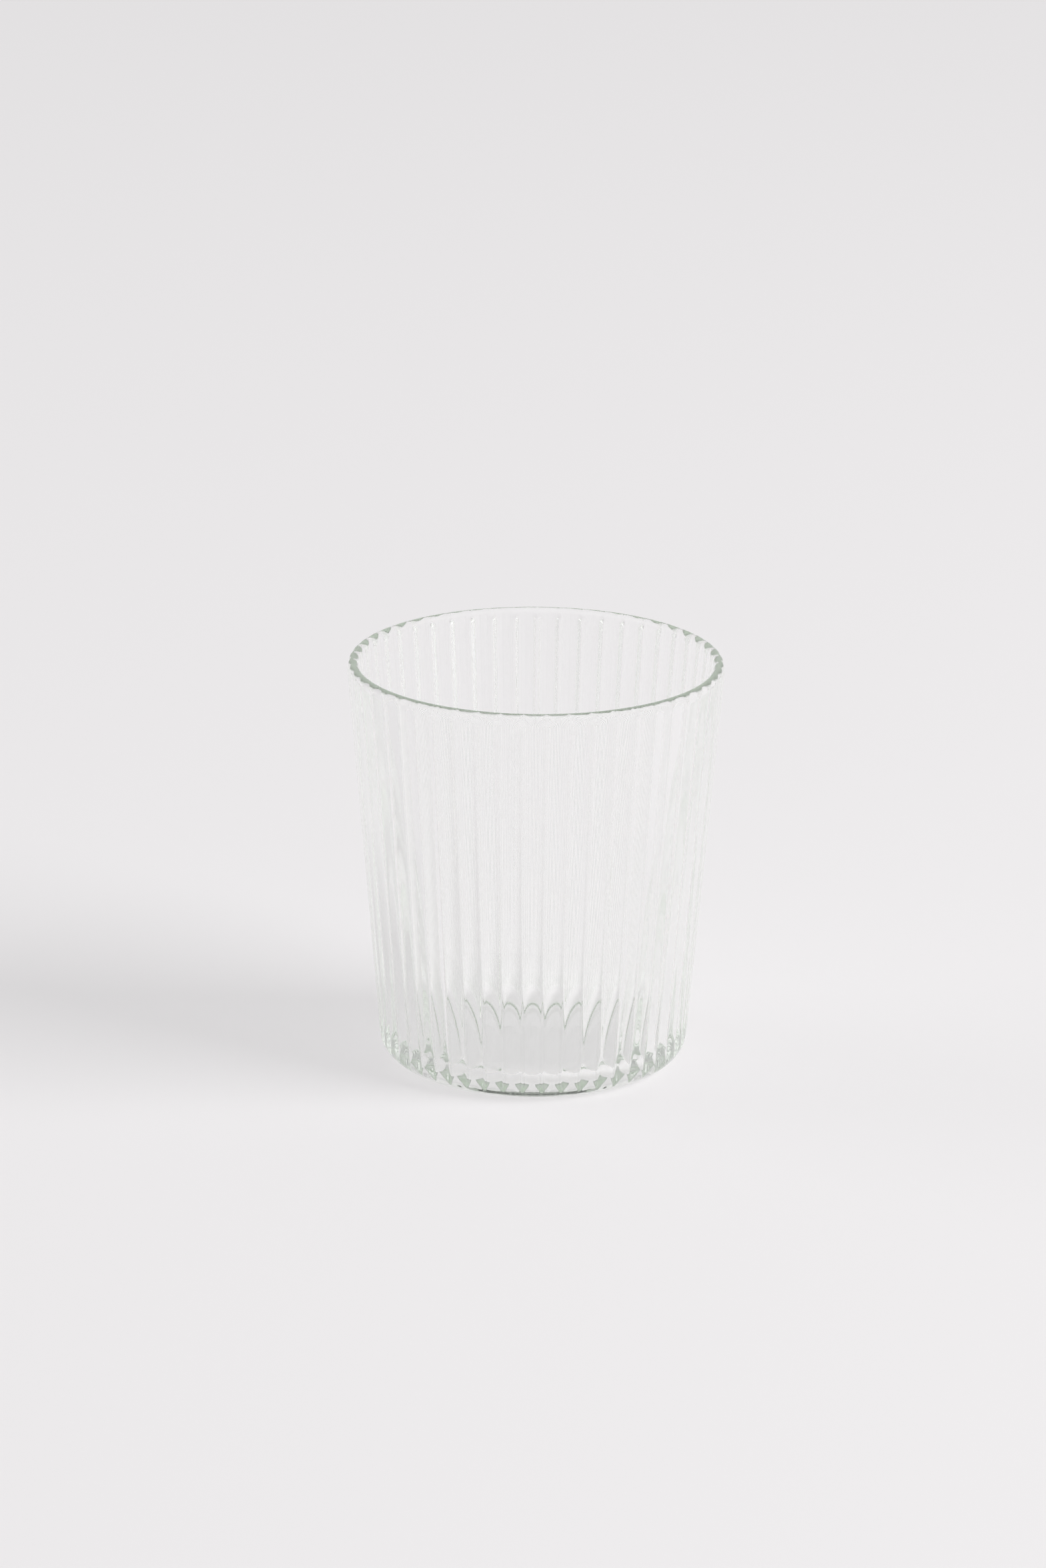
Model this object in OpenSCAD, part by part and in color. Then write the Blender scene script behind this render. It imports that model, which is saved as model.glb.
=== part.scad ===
// Ribbed juice glass, standing on its base with its axis along Z and the table at Z = 0.
// The glass is one casting. It is drawn here as four bands that meet face to face.

/* [Size] */
// Height from the table to the top of the lip
height = 84; // [70:1:110]
// Diameter over the ribs where they would meet the top of the lip
rim_d = 76.2; // [68:0.2:90]
// Diameter over the ribs where they would meet the table
foot_d = 61.5; // [56:0.5:66]

/* [Wall] */
// Wall thickness at the top of the lip, from the bore to the crest of a rib
rim_wall = 2.25; // [2:0.05:2.6]
// Wall thickness at the table, from the bore to the crest of a rib
foot_wall = 3; // [2.2:0.1:4]

/* [Ribs] */
// Number of ribs round the glass
rib_count = 49; // [40:1:56]
// Height of a rib's crest over the valleys beside it, at the top of the wall
rib_h = 1.1; // [0.7:0.05:1.2]
// Width of the valley between two ribs, at the top of the wall
valley_w = 0.4; // [0.2:0.05:0.6]

/* [Lip] */
// Height of the smooth band of the lip, over the ribs
lip_h = 1.9; // [1.8:0.1:3]
// How far the lip lies inside the crests of the ribs
lip_inset = 0.35; // [0.1:0.05:0.6]
// Radius of the rounding from the bore to the top of the lip, the rest of which rounds down to the outside
lip_bore_r = 1; // [0.8:0.1:1.2]

/* [Base] */
// Thickness of the floor
floor_t = 2.4; // [2:0.1:5]
// Radius of the corner between the floor and the bore
corner_r = 7; // [3:0.5:8]
// Radius of the rounded heel under the wall
heel_r = 6.2; // [4:0.2:6.8]
// Diameter of the shallow cone hollowed out under the base
hollow_d = 36; // [24:1:40]
// Height of the hollow at its middle
hollow_h = 0.2; // [0.2:0.1:1]

/* [Hidden] */

// Steps in a small circle and in a turn round the axis
$fn = 96;
turn_steps = 480;

// How far a cut runs past the face that it opens
overrun = 2;
// How far the heel's arc passes outside the crests, so that it meets them in an edge
heel_lap = 0.1;
glass_color = [0.82, 0.88, 0.84, 0.55];

// Slopes of the outside and of the bore, as radius gained for each unit of height
wall_slope = (rim_d - foot_d) / 2 / height;
bore_slope = wall_slope + (foot_wall - rim_wall) / height;
wall_secant = sqrt(1 + pow(wall_slope, 2));
bore_secant = sqrt(1 + pow(bore_slope, 2));

// Radius over the ribs, in the valleys and of the bore, at a height above the table
function wall_radius(z) = foot_d / 2 + wall_slope * z;
function valley_radius(z) = wall_radius(z) * (1 - rib_h / wall_radius(height));
function bore_radius(z) = foot_d / 2 - foot_wall + bore_slope * z;

// The heel's arc touches the table at heel_middle, the corner's arc leaves the floor at floor_r
heel_middle = wall_radius(heel_r) - heel_r * wall_secant + heel_lap;
corner_z = floor_t + corner_r;
floor_r = bore_radius(corner_z) - corner_r * bore_secant;

// The lip's top circle, from which one arc falls to the bore and another to the outside
lip_bore_z = height - lip_bore_r;
lip_middle = bore_radius(lip_bore_z) + lip_bore_r * bore_secant;
lip_outer_r = (wall_radius(height) - lip_inset - lip_middle) / (wall_secant + wall_slope);
lip_outer_z = height - lip_outer_r;

// Heights at which the bands meet
shoulder_z = max(corner_z, heel_r);
lip_z = height - lip_h;

// Every rib is a cone from the point where the straight wall closes, so it narrows with the wall
tip_depth = foot_d / 2 / wall_slope;
pitch_angle = 360 / rib_count;
rib_half = valley_radius(height) * sin(pitch_angle / 2) - valley_w / 2;
rib_sag = wall_radius(height) - sqrt(pow(valley_radius(height), 2) - pow(rib_half, 2));
rib_r = (pow(rib_half, 2) + pow(rib_sag, 2)) / 2 / rib_sag;
rib_lean = atan((wall_radius(height) - rib_r) / (height + tip_depth));
rib_taper = tan(atan(wall_slope) - rib_lean);

// Half section of what the heel is rounded to: an arc from the table, open above it
module heel_section() {
    translate([heel_middle, heel_r])
        circle(r = heel_r);
    square([heel_middle, heel_r]);
    translate([0, heel_r])
        square([rim_d, height]);
}

// Half section of the glass in the valleys, between two heights
module valley_section(from_z, to_z) {
    polygon([
        [0, from_z],
        [valley_radius(from_z), from_z],
        [valley_radius(to_z), to_z],
        [0, to_z]
    ]);
}

// Half section of the space inside: flat floor, rounded corner and straight bore
module bore_section() {
    translate([floor_r, corner_z])
        circle(r = corner_r);
    polygon([
        [0, floor_t],
        [floor_r, floor_t],
        [floor_r + corner_r / bore_secant, corner_z - corner_r * bore_slope / bore_secant],
        [bore_radius(height + overrun), height + overrun],
        [0, height + overrun]
    ]);
}

// Half section of the lip: one round towards the bore and another towards the outside
module lip_section() {
    intersection() {
        translate([lip_middle, lip_bore_z])
            circle(r = lip_bore_r);
        translate([lip_middle - lip_bore_r, lip_z])
            square([lip_bore_r, lip_h]);
    }
    intersection() {
        translate([lip_middle, lip_outer_z])
            circle(r = lip_outer_r);
        translate([lip_middle, lip_z])
            square([lip_outer_r, lip_h]);
    }
    polygon([
        [bore_radius(lip_z), lip_z],
        [wall_radius(lip_z) - lip_inset, lip_z],
        [lip_middle + lip_outer_r / wall_secant, lip_outer_z - lip_outer_r * wall_slope / wall_secant],
        [lip_middle, height],
        [lip_middle - lip_bore_r / bore_secant, lip_bore_z + lip_bore_r * bore_slope / bore_secant]
    ]);
}

// All ribs, running past two heights
module ribs(from_z, to_z) {
    start = (tip_depth + from_z - overrun) / cos(rib_lean);
    end = (tip_depth + to_z + overrun) / cos(rib_lean);
    for (i = [0 : rib_count - 1])
        rotate([0, 0, i * pitch_angle])
            translate([0, 0, -tip_depth])
                rotate([0, rib_lean, 0])
                    translate([0, 0, start])
                        cylinder(h = end - start, r1 = start * rib_taper, r2 = end * rib_taper);
}

// The ribbed glass between two heights, before its inside is taken out
module ribbed_band(from_z, to_z) {
    rotate_extrude($fn = turn_steps)
        valley_section(from_z, to_z);
    intersection() {
        ribs(from_z, to_z);
        translate([0, 0, from_z])
            cylinder(h = to_z - from_z, r = rim_d, $fn = turn_steps);
    }
}

// The space inside the glass
module bore() {
    rotate_extrude($fn = turn_steps)
        bore_section();
}

// Smooth fire-polished edge of the mouth
module lip() {
    color(glass_color)
        rotate_extrude($fn = turn_steps)
            lip_section();
}

// Tapered wall, ribbed outside and smooth inside
module ribbed_wall() {
    color(glass_color)
        difference() {
            ribbed_band(shoulder_z, lip_z);
            bore();
        }
}

// Rounded ring between the wall and the base, where the ribs run out
module heel() {
    color(glass_color)
        difference() {
            intersection() {
                ribbed_band(0, shoulder_z);
                rotate_extrude($fn = turn_steps)
                    heel_section();
            }
            bore();
            translate([0, 0, -overrun])
                cylinder(h = shoulder_z + 2 * overrun, r = floor_r, $fn = turn_steps);
        }
}

// Round floor of the glass, hollowed underneath so that it stands on a flat ring
module base() {
    color(glass_color)
        rotate_extrude($fn = turn_steps)
            difference() {
                intersection() {
                    heel_section();
                    square([floor_r, floor_t]);
                }
                polygon([
                    [0, 0],
                    [hollow_d / 2, 0],
                    [0, hollow_h]
                ]);
            }
}

lip();
ribbed_wall();
heel();
base();
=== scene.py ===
import math

import bpy
from mathutils import Matrix, Vector


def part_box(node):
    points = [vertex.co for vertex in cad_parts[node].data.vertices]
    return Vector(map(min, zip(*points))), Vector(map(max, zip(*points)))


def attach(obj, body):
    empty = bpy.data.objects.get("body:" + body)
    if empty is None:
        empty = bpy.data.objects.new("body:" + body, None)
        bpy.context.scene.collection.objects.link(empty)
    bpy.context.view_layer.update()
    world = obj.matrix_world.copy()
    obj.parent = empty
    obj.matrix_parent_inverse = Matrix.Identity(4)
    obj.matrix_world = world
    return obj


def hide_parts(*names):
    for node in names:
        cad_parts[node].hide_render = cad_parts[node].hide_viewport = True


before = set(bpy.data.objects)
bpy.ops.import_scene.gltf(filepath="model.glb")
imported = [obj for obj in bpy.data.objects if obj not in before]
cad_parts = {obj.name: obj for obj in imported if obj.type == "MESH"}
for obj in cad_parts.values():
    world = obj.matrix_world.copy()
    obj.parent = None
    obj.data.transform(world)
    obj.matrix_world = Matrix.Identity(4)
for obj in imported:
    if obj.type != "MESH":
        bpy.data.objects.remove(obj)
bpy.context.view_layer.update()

MM = 0.001

# Sizes of the glass. The height comes from the frame, the others repeat the solids' own values.
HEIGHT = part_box("lip")[1][2]
MOUTH_R = 38.1 * MM
FOOT_R = 30.75 * MM
MOUTH_WALL = 2.25 * MM
FOOT_WALL = 3 * MM
FLOOR_T = 2.4 * MM
CORNER_R = 7 * MM
HEEL_R = 6.2 * MM
HEEL_LAP = 0.1 * MM
HOLLOW_R = 18 * MM
HOLLOW_H = 0.2 * MM
RIBS = 49
RIB_H = 1.1 * MM
VALLEY_W = 0.4 * MM
LIP_H = 1.9 * MM
LIP_INSET = 0.35 * MM
LIP_BORE_R = 1 * MM

# Softness that the fire polish leaves in the valleys and where they run out on the heel and under the lip
VALLEY_SOFT = 0.3 * MM
HEEL_SOFT = 0.3 * MM
LIP_SOFT = 1.6 * MM
# Share of the ribs that can still be felt in the lip's foot
LIP_KEEP = 0.3

# Steps across half a rib and along each stretch of the section
HALF_RIB_STEPS = 10
HOLLOW_STEPS = 4
HEEL_STEPS = 12
SOFT_STEPS = 6
WALL_STEPS = 4
FADE_STEPS = 12
LIP_STEPS = 24
CORNER_STEPS = 16
FLOOR_STEPS = 4
# How strongly the columns across a rib crowd towards its valleys
COLUMN_CROWDING = 1.5

# The photograph in pixels: its size, its focal length and the middle of the mouth
PHOTO_W = 1568
PHOTO_H = 2351
PHOTO_FOCAL = 11941
MOUTH_PIXEL = (802.2, 988.6)

# The camera that fits it: its distance in mouth radii, its rise and roll, and the turn from it to a valley
CAMERA_MOUTH_RADII = 42
CAMERA_DISTANCE = CAMERA_MOUTH_RADII * MOUTH_R
CAMERA_RISE = 0.2978
CAMERA_ROLL = 0.0082
VALLEY_TURN = 0.0602
# Height of the camera's sensor in millimetres
SENSOR = 36.0

# Light of the room on the paper, and what the glass shows of the room: its level in front and behind, the
# rise of its darkest point, and the cosines of the angle from that point between which the level changes
ROOM_LIGHT = 0.4
ROOM_FRONT = 1.2
ROOM_BACK = 0.45
ROOM_DARK_RISE = 0.4
ROOM_DARK_FROM = -0.2
ROOM_DARK_TO = 0.6

# Bounces that light may make, and the brightest light that a path may bring in after its first bounce
BOUNCES = 40
INDIRECT_LIMIT = 3.0

# The paper, and the share of its white that the glass casts no shadow on
PAPER_HALF_SIDE = 3.0
PAPER_COLOUR = "#EBE9EA"
PAPER_ROUGHNESS = 0.9
PAPER_WHITE_SHARE = 0.6

# The glass, and how fast its tint builds up along the way through it
GLASS_IOR = 1.52
GLASS_TINT = "#B0DDA0"
TINT_DENSITY = 3.0
WHITE = "#FFFFFF"

# Film of air between the foot and the paper
AIR_FILM = 0.05 * MM

# The softboxes: key at the right, fill at the left, back behind and above. Turns are from the camera.
SOFTBOX_AWAY = 2.2
KEY_TURN = math.radians(71)
FILL_TURN = math.radians(-102)
BACK_TURN = math.radians(165)
KEY_RISE = math.radians(28)
FILL_RISE = math.radians(33)
BACK_RISE = math.radians(55)
KEY_SIDE = 1.4
FILL_SIDE = 1.2
BACK_SIDE = 1.2
KEY_POWER = 60.0
FILL_POWER = 8.5
BACK_POWER = 2.0


def wall_radius(z):
    """Radius over the crests of the ribs, at a height above the foot."""
    return FOOT_R + (MOUTH_R - FOOT_R) * z / HEIGHT


WALL_SLOPE = (MOUTH_R - FOOT_R) / HEIGHT
BORE_FOOT_R = FOOT_R - FOOT_WALL
BORE_SLOPE = (MOUTH_R - MOUTH_WALL - BORE_FOOT_R) / HEIGHT
WALL_SECANT = math.hypot(1, WALL_SLOPE)
BORE_SECANT = math.hypot(1, BORE_SLOPE)
HEEL_MIDDLE = wall_radius(HEEL_R) - HEEL_R * WALL_SECANT + HEEL_LAP
CORNER_Z = FLOOR_T + CORNER_R
FLOOR_R = BORE_FOOT_R + BORE_SLOPE * CORNER_Z - CORNER_R * BORE_SECANT
LIP_BORE_Z = HEIGHT - LIP_BORE_R
LIP_TOP_R = BORE_FOOT_R + BORE_SLOPE * LIP_BORE_Z + LIP_BORE_R * BORE_SECANT
LIP_OUTER_R = (MOUTH_R - LIP_INSET - LIP_TOP_R) / (WALL_SECANT + WALL_SLOPE)
LIP_OUTER_Z = HEIGHT - LIP_OUTER_R
PITCH = 2 * math.pi / RIBS


def arc(centre, radius, start, end, steps):
    """Points on a circle in the half section, from one angle to another."""
    points = []
    for i in range(steps + 1):
        angle = start + (end - start) * i / steps
        points.append((centre[0] + radius * math.cos(angle), centre[1] + radius * math.sin(angle)))
    return points


def line(start, end, steps):
    """Points on a straight line in the half section, from one end to the other."""
    points = []
    for i in range(steps + 1):
        t = i / steps
        points.append((start[0] + (end[0] - start[0]) * t, start[1] + (end[1] - start[1]) * t))
    return points


def bend(start, corner, end, steps):
    """A soft corner: a curve that leaves start and reaches end along the two sides of the corner."""
    points = []
    for i in range(steps + 1):
        t = i / steps
        a, b, c = (1 - t) ** 2, 2 * t * (1 - t), t ** 2
        r = a * start[0] + b * corner[0] + c * end[0]
        z = a * start[1] + b * corner[1] + c * end[1]
        points.append((r, z))
    return points


def rib_drop(turn):
    """How far the outside lies below the crests at the mouth, at an angle from a rib's middle."""
    valley_r = MOUTH_R - RIB_H
    rib_half = valley_r * math.sin(PITCH / 2) - VALLEY_W / 2
    rib_sag = MOUTH_R - math.sqrt(valley_r ** 2 - rib_half ** 2)
    rib_r = (rib_half ** 2 + rib_sag ** 2) / 2 / rib_sag
    middle = MOUTH_R - rib_r
    across = middle * math.sin(turn)
    over = middle * math.cos(turn) + math.sqrt(max(rib_r ** 2 - across ** 2, 0)) - valley_r
    # A soft maximum rounds the edge where the rib meets the valley
    mix = min(max(0.5 + over / VALLEY_SOFT / 2, 0), 1)
    return RIB_H - over * mix - VALLEY_SOFT * mix * (1 - mix)


def lip_point(angle):
    """A point of the lip's section: one round on the outer side of its top and another on the bore side."""
    if angle < math.pi / 2:
        return (LIP_TOP_R + LIP_OUTER_R * math.cos(angle), LIP_OUTER_Z + LIP_OUTER_R * math.sin(angle))
    return (LIP_TOP_R + LIP_BORE_R * math.cos(angle), LIP_BORE_Z + LIP_BORE_R * math.sin(angle))


def outside_section(drop):
    """Half section of the outside at one angle, from the middle of the hollow up and over the lip."""
    share = 1 - drop / MOUTH_R
    slope = share * WALL_SLOPE

    # The hollow under the base is a shallow dome
    hollow_ball_r = (HOLLOW_R ** 2 + HOLLOW_H ** 2) / 2 / HOLLOW_H
    hollow_half = math.asin(HOLLOW_R / hollow_ball_r)
    top = math.pi / 2
    hollow = arc((0, HOLLOW_H - hollow_ball_r), hollow_ball_r, top, top - hollow_half, HOLLOW_STEPS)

    # The straight line of the rib or valley runs out on the round of the heel
    reach = share * wall_radius(HEEL_R) - HEEL_MIDDLE
    heel_end = math.atan2(-slope, 1) - math.acos(min(reach / HEEL_R / math.hypot(1, slope), 1))
    heel_corner = arc((HEEL_MIDDLE, HEEL_R), HEEL_R, heel_end, heel_end, 1)[0]
    heel_soft = min(HEEL_SOFT, (heel_end + math.pi / 2) * HEEL_R / 2)
    heel = arc((HEEL_MIDDLE, HEEL_R), HEEL_R, -math.pi / 2, heel_end - heel_soft / HEEL_R, HEEL_STEPS)
    up = (share * wall_radius(heel_corner[1] + heel_soft), heel_corner[1] + heel_soft)
    heel_bend = bend(heel[-1], heel_corner, up, SOFT_STEPS)

    # The ribs fade into the smooth lip, whose foot keeps a little of them
    low = HEIGHT - LIP_H - LIP_SOFT / 2
    wall = line(up, (share * wall_radius(low), low), WALL_STEPS)
    kept = LIP_KEEP * (drop - LIP_INSET)
    fade = []
    for i in range(1, FADE_STEPS + 1):
        t = i / FADE_STEPS
        z = low + LIP_SOFT * t
        mix = t * t * (3 - 2 * t)
        fade.append((share * wall_radius(z) * (1 - mix) + (wall_radius(z) - LIP_INSET - kept) * mix, z))
    first = -math.atan(WALL_SLOPE)
    last = math.pi - math.atan(BORE_SLOPE)
    lip = []
    for i in range(LIP_STEPS + 1):
        r, z = lip_point(first + (last - first) * i / LIP_STEPS)
        lip.append((r - kept * max(1 - 2 * i / LIP_STEPS, 0), z))
    return hollow + heel + heel_bend[1:] + wall[1:] + fade + lip


def inside_section():
    """Half section of the inside, from under the lip down to the middle of the floor."""
    lean = math.atan(BORE_SLOPE)
    corner = arc((FLOOR_R, CORNER_Z), CORNER_R, -lean, -math.pi / 2, CORNER_STEPS)
    bore = line(lip_point(math.pi - lean), corner[0], WALL_STEPS)
    floor = line(corner[-1], (0, FLOOR_T), FLOOR_STEPS)
    return bore[1:] + corner[1:] + floor[1:]


def glass_mesh():
    """One closed skin: every column is a half section, turned to its own angle."""
    steps = 2 * HALF_RIB_STEPS
    turns = []
    for i in range(steps):
        t = (i - HALF_RIB_STEPS) / HALF_RIB_STEPS
        turns.append(math.copysign(1 - (1 - abs(t)) ** COLUMN_CROWDING, t) * PITCH / 2)
    inside = inside_section()
    sections = [outside_section(rib_drop(turn)) + inside for turn in turns]
    rings = len(sections[0])
    columns = RIBS * steps

    verts = [(0, 0, sections[0][0][1]), (0, 0, sections[0][-1][1])]
    for column in range(columns):
        rib, i = divmod(column, steps)
        angle = rib * PITCH + turns[i]
        for r, z in sections[i][1:-1]:
            verts.append((r * math.cos(angle), r * math.sin(angle), z))

    rows = rings - 2
    faces = []
    for column in range(columns):
        here = 2 + column * rows
        there = 2 + (column + 1) % columns * rows
        faces.append((0, there, here))
        for row in range(rows - 1):
            faces.append((here + row, there + row, there + row + 1, here + row + 1))
        faces.append((1, here + rows - 1, there + rows - 1))

    mesh = bpy.data.meshes.new("glass")
    mesh.from_pydata(verts, [], faces)
    mesh.validate()
    mesh.shade_smooth()
    return mesh


def linear(hex_colour):
    """Linear red, green, blue and 1 from an sRGB hex colour."""
    parts = []
    for i in (1, 3, 5):
        c = int(hex_colour[i:i + 2], 16) / 255
        parts.append(c / 12.92 if c <= 0.04045 else ((c + 0.055) / 1.055) ** 2.4)
    return (*parts, 1)


def add_node(tree, kind, links=(), **settings):
    """Adds a shader node, sets its sockets and fields by name, and links other outputs into it."""
    node = tree.nodes.new(kind)
    for name, value in settings.items():
        socket = node.inputs.get(name.replace("_", " "))
        if socket is not None:
            socket.default_value = value
        else:
            setattr(node, name, value)
    for output, name in links:
        tree.links.new(output, node.inputs[name])
    return node


def new_material(name):
    """An empty material and its node tree."""
    material = bpy.data.materials.new(name)
    material.use_nodes = True
    material.node_tree.nodes.clear()
    return material, material.node_tree


def soda_lime_glass():
    """Soda-lime glass, pressed in a mould and fire-polished: clear, with a green tint where it is thick."""
    material, tree = new_material("soda_lime_glass")
    surface = add_node(tree, "ShaderNodeBsdfPrincipled", Base_Color=linear(WHITE), Roughness=0.0,
                       IOR=GLASS_IOR, Transmission_Weight=1.0)
    tint = add_node(tree, "ShaderNodeVolumeAbsorption", Color=linear(GLASS_TINT), Density=TINT_DENSITY)
    add_node(tree, "ShaderNodeOutputMaterial",
             [(surface.outputs["BSDF"], "Surface"), (tint.outputs["Volume"], "Volume")])
    return material


def seen_rays(tree):
    """1 for rays from the camera and rays that the glass reflects or bends, and 0 for all others."""
    rays = add_node(tree, "ShaderNodeLightPath")
    seen = rays.outputs["Is Camera Ray"]
    for name in ("Is Glossy Ray", "Is Transmission Ray"):
        either = add_node(tree, "ShaderNodeMath", [(seen, 0), (rays.outputs[name], 1)], operation="MAXIMUM")
        seen = either.outputs[0]
    return seen


def studio_paper():
    """Matt white paper from a roll. A share of its white is even, and the rest takes the glass's shadow."""
    material, tree = new_material("studio_paper")
    paper = add_node(tree, "ShaderNodeBsdfPrincipled", Base_Color=linear(PAPER_COLOUR),
                     Roughness=PAPER_ROUGHNESS)
    white = add_node(tree, "ShaderNodeEmission", Color=linear(PAPER_COLOUR), Strength=1.0)
    share = add_node(tree, "ShaderNodeMath", [(seen_rays(tree), 0)], operation="MULTIPLY")
    share.inputs[1].default_value = PAPER_WHITE_SHARE
    mix = add_node(tree, "ShaderNodeMixShader",
                   [(share.outputs[0], "Fac"), (paper.outputs["BSDF"], 1), (white.outputs["Emission"], 2)])
    add_node(tree, "ShaderNodeOutputMaterial", [(mix.outputs["Shader"], "Surface")])
    return material


def add_object(name, data):
    """A new object in the scene."""
    thing = bpy.data.objects.new(name, data)
    bpy.context.collection.objects.link(thing)
    return thing


def towards(azimuth, rise):
    """Unit vector from the glass in a direction round it and up."""
    return Vector((math.cos(azimuth) * math.cos(rise), math.sin(azimuth) * math.cos(rise), math.sin(rise)))


def turn_pair(one, other, angle):
    """Two square axes, with the first turned towards the second and the second away from the first."""
    cosine = math.cos(angle)
    sine = math.sin(angle)
    return one * cosine + other * sine, other * cosine - one * sine


def add_camera():
    """Puts the camera where the mouth's ellipse, the valleys and the outline of the glass agree with it."""
    valley = math.ceil((-math.pi / 2 - VALLEY_TURN) / PITCH - 0.5) + 0.5
    azimuth = valley * PITCH - VALLEY_TURN
    target = Vector((0, 0, HEIGHT))
    away = towards(azimuth, CAMERA_RISE)
    forward = -away
    right = Vector((-math.sin(azimuth), math.cos(azimuth), 0))
    up = right.cross(forward)
    # Turn until the middle of the mouth lands on its pixel, then roll
    pitch = math.atan((MOUTH_PIXEL[1] - PHOTO_H / 2) / PHOTO_FOCAL)
    yaw = math.atan((MOUTH_PIXEL[0] - PHOTO_W / 2) / PHOTO_FOCAL)
    forward, up = turn_pair(forward, up, pitch)
    right, forward = turn_pair(right, forward, yaw)
    right, up = turn_pair(right, up, CAMERA_ROLL)
    data = bpy.data.cameras.new("camera")
    data.sensor_fit = "VERTICAL"
    data.sensor_height = SENSOR
    data.lens = SENSOR * PHOTO_FOCAL / PHOTO_H
    camera = add_object("camera", data)
    turn = Matrix((right, up, -forward)).transposed().to_4x4()
    camera.matrix_world = Matrix.Translation(target + away * CAMERA_DISTANCE) @ turn
    bpy.context.scene.camera = camera
    return azimuth


def add_softbox(name, azimuth, rise, side, power):
    """A square soft light that faces the glass and lights the paper. The glass shows the room instead."""
    data = bpy.data.lights.new(name, "AREA")
    data.shape = "SQUARE"
    data.size = side
    data.energy = power
    lamp = add_object(name, data)
    away = towards(azimuth, rise)
    lamp.location = Vector((0, 0, HEIGHT / 2)) + away * SOFTBOX_AWAY
    lamp.rotation_euler = (-away).to_track_quat("-Z", "Y").to_euler()
    lamp.visible_glossy = False
    lamp.visible_transmission = False


def add_world(azimuth):
    """A room that shows light in front of the glass and dark behind it, and lights the paper evenly."""
    world = bpy.data.worlds.new("room")
    world.use_nodes = True
    tree = world.node_tree
    tree.nodes.clear()
    direction = add_node(tree, "ShaderNodeTexCoord")
    behind = add_node(tree, "ShaderNodeVectorMath", [(direction.outputs["Generated"], 0)],
                      operation="DOT_PRODUCT")
    behind.inputs[1].default_value = towards(azimuth + math.pi, ROOM_DARK_RISE)
    level = add_node(tree, "ShaderNodeMapRange", [(behind.outputs["Value"], "Value")],
                     From_Min=ROOM_DARK_FROM, From_Max=ROOM_DARK_TO, To_Min=ROOM_FRONT, To_Max=ROOM_BACK,
                     interpolation_type="SMOOTHSTEP")
    shown = add_node(tree, "ShaderNodeBackground", [(level.outputs["Result"], "Strength")],
                     Color=linear(WHITE))
    light = add_node(tree, "ShaderNodeBackground", Color=linear(WHITE), Strength=ROOM_LIGHT)
    room = add_node(tree, "ShaderNodeMixShader",
                    [(seen_rays(tree), "Fac"), (light.outputs["Background"], 1),
                     (shown.outputs["Background"], 2)])
    add_node(tree, "ShaderNodeOutputWorld", [(room.outputs["Shader"], "Surface")])
    bpy.context.scene.world = world


def add_floor():
    """A flat sheet of paper under the glass."""
    mesh = bpy.data.meshes.new("floor")
    side = PAPER_HALF_SIDE
    corners = [(-side, -side), (side, -side), (side, side), (-side, side)]
    mesh.from_pydata([(x, y, -AIR_FILM) for x, y in corners], [], [(0, 1, 2, 3)])
    floor = add_object("floor", mesh)
    mesh.materials.append(studio_paper())


view_azimuth = add_camera()
add_world(view_azimuth)
add_floor()
add_softbox("key_softbox", view_azimuth + KEY_TURN, KEY_RISE, KEY_SIDE, KEY_POWER)
add_softbox("fill_softbox", view_azimuth + FILL_TURN, FILL_RISE, FILL_SIDE, FILL_POWER)
add_softbox("back_softbox", view_azimuth + BACK_TURN, BACK_RISE, BACK_SIDE, BACK_POWER)

glass = add_object("glass_body", glass_mesh())
glass.data.materials.append(soda_lime_glass())
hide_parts("lip", "ribbed_wall", "heel", "base")
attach(glass, "root")

scene = bpy.context.scene
scene.view_settings.view_transform = "Standard"
# Light runs a long way inside a ribbed wall before it leaves
scene.cycles.blur_glossy = 0.0
scene.cycles.max_bounces = BOUNCES
scene.cycles.glossy_bounces = BOUNCES
scene.cycles.transmission_bounces = BOUNCES
scene.cycles.sample_clamp_indirect = INDIRECT_LIMIT
scene.cycles.use_light_tree = False
